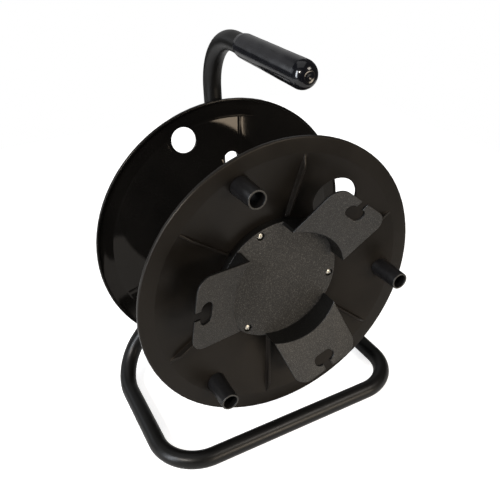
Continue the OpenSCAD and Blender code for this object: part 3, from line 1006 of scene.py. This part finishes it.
@dataclass
class PanScrew:
    """Pan-head screw with a cross recess, its head seated at a height on one side."""

    node: str
    spool: SpoolSizes
    side: Side
    angle: float
    seat: float
    turn: float
    head_r: float = 3.5
    head_h: float = 2.3
    shank_r: float = 1.9
    length: float = 22.0
    slot_depth: float = 1.2
    slot_half_w: float = 0.52
    slot_half_len: float = 1.95
    pitch: float = 1.0

    def surface(self) -> Array:
        """Grid from the crown of the head over its edge and down the shank.

        The crown is a flat dome, and the recess is the larger of two trench depths
        that cross at right angles: each falls off across its width and its length.
        """
        a, s = turns(64), self.spool
        rho = np.concatenate([np.linspace(0, 0.86, 19), [0.92, 0.97, 1.0]])[:, None] * self.head_r
        u, v = rho * np.cos(a + self.turn), rho * np.sin(a + self.turn)
        crown = -self.head_h * (1 - (rho / self.head_r) ** 3.2 * 0.62)
        trench = [
            self.slot_depth * smoothstep((self.slot_half_w - np.abs(p)) / 0.16)
            * smoothstep((self.slot_half_len - np.abs(q)) / 0.5)
            for p, q in ((u, v), (v, u))
        ]
        top = crown + np.maximum(*trench)
        thread = np.arange(0, self.length - 2, self.pitch / 2)
        core = self.shank_r * (1 - 0.12 * (np.arange(len(thread)) % 2))
        under = np.concatenate([np.array([1.0, 0.97]) * self.head_r, [self.shank_r], core, [0.5, 0.0]])
        below = np.concatenate([[-0.35, 0.0, 0.0], thread + 0.1, [self.length - 0.4, self.length]])
        r = np.concatenate([rho, under[:, None]])
        y = np.concatenate([top, np.repeat(below[:, None], len(a), 1)]) + self.seat
        return s.on_side(ringed(r, y, a, polar(self.angle, s.screw_r)), self.side)

    def build(self, shop: Workshop) -> None:
        """Builds and dresses the screw."""
        piece = shop.grid(f"dressed_{self.node}", self.surface())
        shop.dress(piece, ZINC_PLATE, Body.SPOOL, self.node, angle=50)


@dataclass
class AxleStack:
    """Axle bolt with its nuts, washers, sleeve and the two bushes, front to rear."""

    spool: SpoolSizes
    axle_d: float = 9.5
    bush_t: float = 4.2
    bush_gap: float = 0.07
    hole_gap: float = 0.25
    flange: float = 1.6
    end_gap: float = 0.2
    washer_t: float = 1.5
    head_h: float = 6.0
    lock_h: float = 9.7
    clamp_h: float = 8.4
    cup_y: float = 28.0
    boss_len: float = 16.0
    thread_pitch: float = 1.5
    thread_h: float = 0.35

    def hexagonal(self, y0: float, y1: float, bore: float, both: bool) -> Array:
        """Chamfered hexagon: a prism held inside a cone at one or both of its ends.

        The end face at a distance q from the axis sits back by tan 30 of how far q
        passes the inscribed circle.
        """
        flat, a = 1.5 * self.axle_d / 2, turns(96)
        edge = flat / np.cos((a + math.pi / 6) % (math.pi / 3) - math.pi / 6)
        share = np.array([0.0, 0.5, 0.86, 0.9, 0.94, 0.97, 1.0])[:, None]
        q = bore + (edge - bore) * share
        back = np.maximum(q - flat * 0.97, 0) * math.tan(math.radians(30))
        low, high = ringed(q, y0 + (back if both else 0 * back), a), ringed(q, y1 - back, a)
        return np.concatenate([low, high[::-1]])

    def washer(self, y0: float, r: float, bore: float, y1: float | None = None) -> Array:
        """Closed profile of a flat ring with small rounded edges."""
        y1 = y0 + self.washer_t if y1 is None else y1
        return filleted([(bore, y0, 0.15), (r, y0, 0.35), (r, y1, 0.35), (bore, y1, 0.15)])

    def build(self, shop: Workshop, stand_y: dict[str, float]) -> None:
        """Builds every piece on the axle.

        Args:
            shop: makes and dresses the pieces.
            stand_y: heights along the axle of the bolt head's seat and of the post's front.
        """
        s = self.spool
        axle = self.axle_d / 2
        hole, bush_r = axle + self.hole_gap, axle + self.bush_t
        washer_r = bush_r + 2.5
        front = self.cup_y - self.flange - self.end_gap - self.washer_t
        rear = s.spool_w - self.cup_y + self.flange + self.end_gap
        lock = front - self.lock_h
        head, post = stand_y["head"], stand_y["post"]
        clamp = post - self.clamp_h
        ridge = np.arange(lock - 0.8, lock + 11, self.thread_pitch / 2)
        crest = axle - self.thread_h * (np.arange(len(ridge)) % 2)
        shank = np.concatenate([
            [(0, ridge[0] - 0.01), (axle - 1, ridge[0])], np.stack([crest[1:], ridge[1:]], 1),
            [(axle, head + 0.5), (0, head + 0.5)],
        ])
        bolt = shop.grid("dressed_axle_bolt", self.hexagonal(head, head + self.head_h, 0.01, False))
        combined(bolt, [shop.turned("shank", shank, 64, closed=False)], "UNION")
        shop.dress(bolt, ZINC_PLATE, Body.STAND, "axle_bolt")
        rings = {
            "frame_washer": self.washer(head - self.washer_t, washer_r, hole),
            "rear_washer": self.washer(rear, washer_r, hole),
            "front_washer": self.washer(front, washer_r, hole),
            "spacer_sleeve": self.washer(rear + self.washer_t, hole + 3, hole, clamp),
        }
        for node, profile in rings.items():
            shop.dress(shop.turned(f"dressed_{node}", profile, 72), ZINC_PLATE, Body.STAND, node)
        nut = shop.grid("dressed_clamp_nut", self.hexagonal(clamp, post, axle, True), wrap_rows=True)
        shop.dress(nut, ZINC_PLATE, Body.STAND, "clamp_nut")
        wide, low = 7.0, lock + 3
        collar = filleted([(axle, lock, 0.2), (wide, lock, 0.9), (wide, low, 0), (axle, low, 0)])
        nut = shop.grid("dressed_lock_nut", self.hexagonal(lock + 2.5, front, axle, True), wrap_rows=True)
        combined(nut, [shop.turned("collar", collar, 64)], "UNION")
        shop.dress(nut, ZINC_PLATE, Body.STAND, "lock_nut")
        bore, brim = axle + self.bush_gap, bush_r + 3.5
        top, end = self.cup_y - self.flange, self.cup_y + self.boss_len + 1
        bush = revolved(filleted([
            (bore, top, 0.4), (brim, top, 0.4), (brim, self.cup_y, 0.3), (bush_r, self.cup_y, 0),
            (bush_r, end, 0.5), (bore, end, 0.3),
        ]), 72)
        for node, side in (("front_bush", Side.FRONT), ("rear_bush", Side.REAR)):
            piece = shop.grid(f"dressed_{node}", s.on_side(bush, side), wrap_rows=True)
            shop.dress(piece, BUSH_NYLON, Body.SPOOL, node)


# ---- stand ----


@dataclass
class Stand:
    """Bent-tube base, upright post with its handle, and the dipped grip."""

    spool: SpoolSizes
    tube_d: float = 19.05
    tube_t: float = 1.5
    axle_h: float = 182.0
    base_w: float = 309.5
    bend_r: float = 46.6
    front_reach: float = 19.4
    post_gap: float = 3.1
    handle_bend_r: float = 58.0
    handle_z: float = 221.0
    handle_reach: float = 189.5
    handle_droop: float = 2.1
    grip_len: float = 115.5
    grip_d: float = 24.3
    grip_rear_d: float = 22.6
    taper: float = 32.0
    flat_past: float = 9.6
    washer_t: float = 1.5
    around: int = 72
    dimple_r: float = 6.5
    dimple_out: float = 4.0
    weld_len: float = 20.0
    weld_r: float = 2.1
    weld_x: float = 5.4

    @property
    def tube_r(self) -> float:
        """Outside radius of the tube."""
        return self.tube_d / 2

    @property
    def post_y(self) -> float:
        """Centre line of the post."""
        return self.spool.spool_w + self.post_gap + self.tube_r

    @property
    def flat_t(self) -> float:
        """Thickness of a flattened end."""
        return 2 * self.tube_t

    @property
    def flat_w(self) -> float:
        """Width of a flattened end: the tube's wall laid flat."""
        return math.pi * (self.tube_d - self.tube_t) / 2 + self.tube_t

    @property
    def flat_len(self) -> float:
        """How far a leg is fully flat, from the axle."""
        return self.flat_w / 2 + self.flat_past

    def heights(self) -> dict[str, float]:
        """Where the bolt head and the clamp nut meet the stand, along the axle."""
        flat_y = self.post_y + self.tube_r
        return {"head": flat_y + 2 * self.flat_t + self.washer_t, "post": self.post_y - self.tube_r}

    @staticmethod
    def swept(centre: Array, tangent: Array, side: Array, section: Array) -> Array:
        """Carries a section along a path.

        Args:
            centre: path points, n by 3.
            tangent: unit direction of the path at each.
            side: unit vector across the path at each.
            section: n by m by 2: along side x tangent, then along side.

        Returns:
            A grid of n by m points.
        """
        other = np.cross(side, tangent)
        return centre[:, None] + section[..., :1] * other[:, None] + section[..., 1:] * side[:, None]

    def half_base(self, way: int) -> tuple[Array, Array, Array, Array]:
        """Path of half the base, from the middle of the front bar to a flattened end.

        It runs along the front bar, round a quarter turn, back along the side bar,
        round a second quarter turn into the leg's plane, and up the leg to the axle.

        Args:
            way: -1 for the left half and 1 for the right.

        Returns:
            Path points, tangents, side vectors, and each point's distance along the
            leg to its end (large before the leg).
        """
        side_x, drop = self.base_w / 2 - self.tube_r, self.axle_h - self.tube_r
        leg_y = self.post_y + self.tube_r + self.flat_t
        r, lean = self.bend_r, math.atan2(drop, side_x)
        up = np.array([-math.cos(lean), 0.0, math.sin(lean)])
        flat_end, leg_len = self.flat_w / 2, math.hypot(side_x, drop)
        taper_end = leg_len - self.flat_len
        quarter = np.linspace(0, math.pi / 2, 28)
        bend1 = arc(np.array([side_x - r, r - self.front_reach, -drop]), r, X_AXIS, Y_AXIS, quarter)
        bend2 = arc(np.array([side_x, leg_y - r, -drop]) + r * up, r, Y_AXIS, up, quarter)
        bar = np.linspace(0, side_x - r, 24)[:-1, None] * X_AXIS + np.array([0, -self.front_reach, -drop])
        side_y = np.linspace(r - self.front_reach, leg_y - r, 30)[1:-1, None]
        rail = np.array([side_x, 0, -drop]) + side_y * Y_AXIS
        climb = np.concatenate([
            np.linspace(r, taper_end - self.taper, 12)[1:-1],
            np.linspace(taper_end - self.taper, taper_end, 26), np.linspace(taper_end, leg_len, 8)[1:],
            leg_len + flat_end * np.sin(np.linspace(0, math.pi / 2, 14)[1:]),
        ])[:, None]
        leg = np.array([side_x, leg_y, -drop]) + climb * up
        path, tangent = route((bar, X_AXIS), bend1, (rail, Y_AXIS), bend2, (leg, up))
        turned = smoothstep(np.linspace(0, 1, len(rail)))
        before, after = len(bar) + len(quarter), len(quarter) + len(leg)
        level = np.concatenate([np.zeros(before), turned, np.ones(after)])[:, None]
        side = np.cos(level * lean) * Z_AXIS + np.sin(level * lean) * X_AXIS
        to_end = np.concatenate([np.full(len(path) - len(leg), 999.0), leg_len + flat_end - climb[:, 0]])
        mirror = np.array([way, 1, 1])
        return path * mirror, tangent * mirror, side * mirror, to_end

    def flattened(self, to_end: Array, way: Array) -> tuple[Array, Array]:
        """Sections along the base, and how far each is set off along the axle.

        A section is a superellipse whose half-axes go from the tube's radius to half
        the flat's thickness and width, while its power goes from 2 to 7. Over the last
        half width its width follows a half circle, which rounds the end off.

        Args:
            to_end: distance to the leg's end at each path point.
            way: -1 or 1 at each path point, for the left and the right half.

        Returns:
            Sections, n by m by 2, and offsets, n.
        """
        flat = smoothstep((self.flat_w / 2 + self.flat_len + self.taper - to_end) / self.taper)
        thick = self.tube_r + (self.flat_t / 2 - self.tube_r) * flat
        wide = self.tube_r + (self.flat_w / 2 - self.tube_r) * flat
        end_r = self.flat_w / 2
        wide = np.where(to_end < end_r, np.sqrt(np.maximum(end_r**2 - (end_r - to_end) ** 2, 0.04)), wide)
        power = (2 / (2 + 5 * flat))[:, None]
        a = turns(self.around) + math.pi / self.around
        c, s = np.cos(a), np.sin(a)
        along = np.sign(c) * np.abs(c) ** power * thick[:, None]
        across = np.sign(s) * np.abs(s) ** power * wide[:, None]
        return np.stack([along, across], -1), flat * way * self.flat_t / 2

    def build_base(self, shop: Workshop) -> None:
        """Sweeps the base from its left flattened end round to its right one."""
        left, right = self.half_base(-1), self.half_base(1)
        path, tangent, side, to_end = (
            np.concatenate([sign * a[:0:-1], b]) for sign, a, b in zip((1, -1, 1, 1), left, right)
        )
        way = np.concatenate([-np.ones(len(left[3]) - 1), np.ones(len(right[3]))])
        section, off = self.flattened(to_end, way)
        path[:, 1] += off
        piece = shop.grid("dressed_base_frame", self.swept(path, tangent, side, section), cap_ends=True)
        shop.dress(piece, POWDER_COAT, Body.STAND, "base_frame", angle=40)

    def handle_frame(self) -> tuple[Array, Array, Array]:
        """Corner of the handle's centre line, its direction and its upward normal."""
        droop = math.radians(self.handle_droop)
        corner = np.array([0, self.post_y, self.handle_z])
        along = np.array([0, -math.cos(droop), -math.sin(droop)])
        return corner, along, np.array([0, -math.sin(droop), math.cos(droop)])

    def build_post(self, shop: Workshop) -> None:
        """Sweeps the post and the handle's tube, with its open lower end and weld beads."""
        corner, along, _ = self.handle_frame()
        turn = math.radians(90 + self.handle_droop)
        reach = self.handle_bend_r * math.tan(turn / 2)
        start, foot = self.handle_z - reach, -self.flat_len
        centre = np.array([0, self.post_y - self.handle_bend_r, start])
        bend = arc(centre, self.handle_bend_r, Z_AXIS, -Y_AXIS, np.linspace(0, turn, 44))
        post = np.array([0, self.post_y, 0]) + np.linspace(foot, start, 30)[1:-1, None] * Z_AXIS
        end = self.handle_reach - self.grip_d / 2 - 1.4
        handle = corner + np.linspace(reach, end, 24)[1:, None] * along
        # Height above the foot and share of the bore: up inside, and out round the rim.
        lip = np.array([
            (34.0, 0.3), (34.0, 1), (0.5, 1), (0.15, 1.04), (0, 1.1), (0, 1.14), (0.15, 1.17), (0.5, 1.187),
        ])
        ends = np.array([0, self.post_y, foot]) + lip[:, :1] * Z_AXIS
        path, tangent = route((ends, Z_AXIS), (post, Z_AXIS), bend, (handle, along))
        radius = lip[:, 1] * (self.tube_r - self.tube_t)
        radii = np.concatenate([radius, np.full(len(path) - len(ends), self.tube_r)])
        a = turns(self.around)
        section = radii[:, None, None] * np.stack([np.cos(a), np.sin(a)], -1)
        tube = self.swept(path, tangent, np.tile(X_AXIS, (len(path), 1)), section)
        piece = shop.grid("dressed_handle_post", tube, cap_ends=True)
        combined(piece, [self.weld(shop, way) for way in (-1, 1)], "UNION")
        shop.dress(piece, POWDER_COAT, Body.STAND, "handle_post", angle=40)

    def weld(self, shop: Workshop, way: int) -> Piece:
        """Weld bead between the post and the front flat, rippled along its length.

        Its section is a circle whose centre lies beside the line of contact, and its
        radius swells and shrinks with a fine ripple and closes at both ends.
        """
        t = np.linspace(-1, 1, 61)[:, None]
        ends = np.sqrt(np.clip(1 - t**6, 0.0004, 1))
        radius = (self.weld_r + 0.16 * np.sin(t * 34) + 0.06 * np.sin(t * 57 + 1)) * ends
        a = turns(28)
        x = way * self.weld_x + radius * np.cos(a)
        y = self.post_y + self.tube_r - 1.35 + 0.72 * radius * np.sin(a)
        z = np.repeat(t * self.weld_len / 2, len(a), 1)
        return shop.grid("bead", np.stack([x, y, z], -1), cap_ends=True)

    def build_grip(self, shop: Workshop) -> None:
        """Turns the dipped sleeve about the handle, with its round, dimpled nose."""
        corner, along, up = self.handle_frame()
        nose, rear = self.grip_d / 2, self.grip_rear_d / 2
        start, ball = self.handle_reach - self.grip_len, self.handle_reach - nose
        dimple, out = self.dimple_r, nose + self.dimple_out
        meet = (out**2 + nose**2 - dimple**2) / (2 * out)
        edge = math.acos(meet / nose)
        lip = math.asin(nose * math.sin(edge) / dimple)
        body = filleted([
            (self.tube_r - 0.4, start + 0.5, 0), (self.tube_r + 0.7, start, 0.5), (rear, start + 6, 5.0),
            (nose, ball, 0),
        ], closed=False, steps=8)
        body = densified(body, 2.5, closed=False)
        cap = np.linspace(math.pi / 2, edge, 37)[1:]
        round_end = np.stack([nose * np.sin(cap), ball + nose * np.cos(cap)], 1)
        bowl = np.linspace(lip, 0, 13)[1:]
        pit = np.stack([dimple * np.sin(bowl), ball + out - dimple * np.cos(bowl)], 1)
        inner = np.array([(0.0, ball - 2.0), (self.tube_r - 0.4, ball - 2.0)])
        profile = np.concatenate([inner, body, eased(np.concatenate([round_end, pit]), 6)])
        a = turns(self.around)
        r, s = profile[:, :1], profile[:, 1:]
        middle = smoothstep((s - start - 8) / 12) * smoothstep((ball - s) / 14) * (r > self.tube_r + 1)
        sag = 0.05 * np.sin(s * 0.11 + a) + 0.03 * np.sin(s * 0.31 - 2 * a + 1)
        r = r + middle * (sag + 0.02 * np.cos(4 * a + s * 0.05))
        centre, other = corner + s * along, np.cross(up, along)
        sleeve = centre[:, None] + (r * np.cos(a))[..., None] * other + (r * np.sin(a))[..., None] * up
        shop.dress(shop.grid("dressed_hand_grip", sleeve), DIPPED_VINYL, Body.STAND, "hand_grip", angle=40)


# ---- studio ----


@dataclass(frozen=True)
class Eye:
    """The camera, fitted in the reel frame: its place and its axes, in millimetres."""

    place: Triple = (-253.43, -430.89, 341.44)
    right: Triple = (0.8848, -0.46495, -0.0309)
    down: Triple = (-0.26343, -0.4444, -0.85622)
    ahead: Triple = (0.38437, 0.76572, -0.51568)
    lens: float = 43.6
    sensor: float = 36.0
    shift: tuple[float, float] = (-0.001, 0.001)

    def build(self, reel: ReelFrame) -> None:
        """Makes the scene's camera."""
        data = bpy.data.cameras.new("camera")
        data.lens, data.sensor_width = self.lens, self.sensor
        data.shift_x, data.shift_y = self.shift
        data.clip_start, data.clip_end = 0.01, 50
        axes = np.array([self.right, -np.array(self.down), -np.array(self.ahead)]).T
        bpy.context.scene.camera = linked("camera", data, reel.placed(np.array(self.place)), axes)


@dataclass(frozen=True)
class SoftBox:
    """A soft studio lamp: where it stands, how wide it is, its power and its tint."""

    name: str
    place: Triple
    size: tuple[float, float]
    watts: float
    tint: Triple = (1.0, 1.0, 1.0)

    AIM = (0.0, 0.0, 0.18)

    def build(self) -> None:
        """Makes the lamp, facing the reel."""
        data = bpy.data.lights.new(self.name, "AREA")
        data.shape = "RECTANGLE"
        data.size, data.size_y = self.size
        data.energy, data.color = self.watts, self.tint
        back = np.array(self.place) - self.AIM
        back /= np.linalg.norm(back)
        right = np.cross(Z_AXIS, back)
        right /= np.linalg.norm(right)
        linked(self.name, data, np.array(self.place), np.stack([right, np.cross(back, right), back], 1))


WHITE = (1.0, 1.0, 1.0, 1.0)
WARM = (1.0, 0.93, 0.84)
AMBER = (1.0, 0.86, 0.68)
COOL = (0.88, 0.93, 1.0)


@dataclass
class Studio:
    """White backdrop and floor board, a dark mirrored surround and soft lamps."""

    ambient: float = 0.30
    mirrored: float = 0.06
    floor_grey: float = 0.62
    floor_lift: float = 0.74
    floor_x: tuple[float, float] = (-1.0, 0.8)
    floor_y: tuple[float, float] = (-0.42, 1.0)
    lamps: list[SoftBox] = field(default_factory=lambda: [
        SoftBox("key", (0.9, -1.3, 1.7), (0.8, 0.6), 20.0, WARM),
        SoftBox("front_card", (0.56, -1.63, 0.32), (0.78, 0.45), 15.0, AMBER),
        SoftBox("upper_left", (-1.12, -0.78, 1.15), (0.14, 0.14), 17.0, WARM),
        SoftBox("left_strip", (-1.5, -0.35, 0.7), (0.26, 1.2), 30.0, COOL),
        SoftBox("left_rear", (-1.4, 1.2, 0.9), (1.0, 0.8), 3.4, COOL),
        SoftBox("back_panel", (-0.1, 1.6, 0.95), (3.2, 1.1), 4.2),
        SoftBox("overhead", (-0.2, 0.2, 2.2), (2.0, 1.6), 8.0),
    ])

    @staticmethod
    def seen_by(wiring: Wiring, first: str, second: str) -> Socket:
        """Mask of two kinds of rays, by the names of their outputs."""
        rays = wiring.add("ShaderNodeLightPath")
        return wiring.math("MAXIMUM", rays[first], rays[second])

    def build_world(self) -> None:
        """World that is white where it is seen and gives an even light elsewhere.

        Glossy and transmission rays see a dark surround, as in a dim studio.
        """
        world = bpy.data.worlds.new("studio_world")
        world.use_nodes = True
        wiring = Wiring(world.node_tree)
        rays = self.seen_by(wiring, "Is Glossy Ray", "Is Transmission Ray")
        unseen = wiring.mixed(rays, self.ambient, self.mirrored)
        level = wiring.mixed(wiring.add("ShaderNodeLightPath")["Is Camera Ray"], unseen, 1.0)
        wiring.feed(world.node_tree.nodes["Background"], {"Color": WHITE, "Strength": level})
        bpy.context.scene.world = world

    def build_floor(self) -> None:
        """White floor board that keeps the reel's shadow."""
        mesh = bpy.data.meshes.new("floor")
        (left, right), (front, rear) = self.floor_x, self.floor_y
        corners = [(left, front, 0), (right, front, 0), (right, rear, 0), (left, rear, 0)]
        mesh.from_pydata(corners, [], [(0, 1, 2, 3)])
        floor = linked("floor", mesh)
        material = bpy.data.materials.new("white_floor")
        material.use_nodes = True
        wiring = Wiring(material.node_tree)
        seen = self.seen_by(wiring, "Is Camera Ray", "Is Transmission Ray")
        wiring.feed(material.node_tree.nodes["Principled BSDF"], {
            "Base Color": (*[self.floor_grey] * 3, 1.0), "Roughness": 1.0, "Specular IOR Level": 0.0,
            "Emission Color": WHITE, "Emission Strength": wiring.math("MULTIPLY", seen, self.floor_lift),
        })
        mesh.materials.append(material)

    def build(self) -> None:
        """Builds the world, the floor and the lamps, and sets the view transform."""
        self.build_world()
        self.build_floor()
        for lamp in self.lamps:
            lamp.build()
        bpy.context.scene.view_settings.view_transform = "Standard"


# ---- reel ----


@dataclass
class Spool:
    """Everything that turns on the axle."""

    sizes: SpoolSizes

    def build(self, shop: Workshop) -> None:
        """Builds the flanges, the drum, the hub plate, its screws and the pegs."""
        s = self.sizes
        for side in Side:
            Flange(side, s).build(shop)
        Drum(s).build(shop)
        plate = HubPlate(s)
        plate.build(shop)
        for index, third in enumerate(THIRDS, 1):
            WindingPeg(s, index).build(shop)
            at, turn, seat = s.phase + third, 0.5 + 1.3 * index, plate.plate_y + plate.well_h
            PanScrew(f"hub_screw_{index}", s, Side.FRONT, at, seat, turn).build(shop)
            PanScrew(f"drum_screw_{index}", s, Side.REAR, at, s.dish, turn + 0.7).build(shop)


def main() -> None:
    """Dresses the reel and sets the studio."""
    logging.basicConfig(level=logging.INFO, format="%(name)s: %(message)s")
    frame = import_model()
    sizes = SpoolSizes()
    reel = ReelFrame(frame, sizes)
    shop = Workshop(reel)
    Eye().build(reel)
    Studio().build()
    Spool(sizes).build(shop)
    stand = Stand(sizes)
    for build in (stand.build_base, stand.build_post, stand.build_grip):
        build(shop)
    AxleStack(sizes).build(shop, stand.heights())


if __name__ == "__main__":
    main()
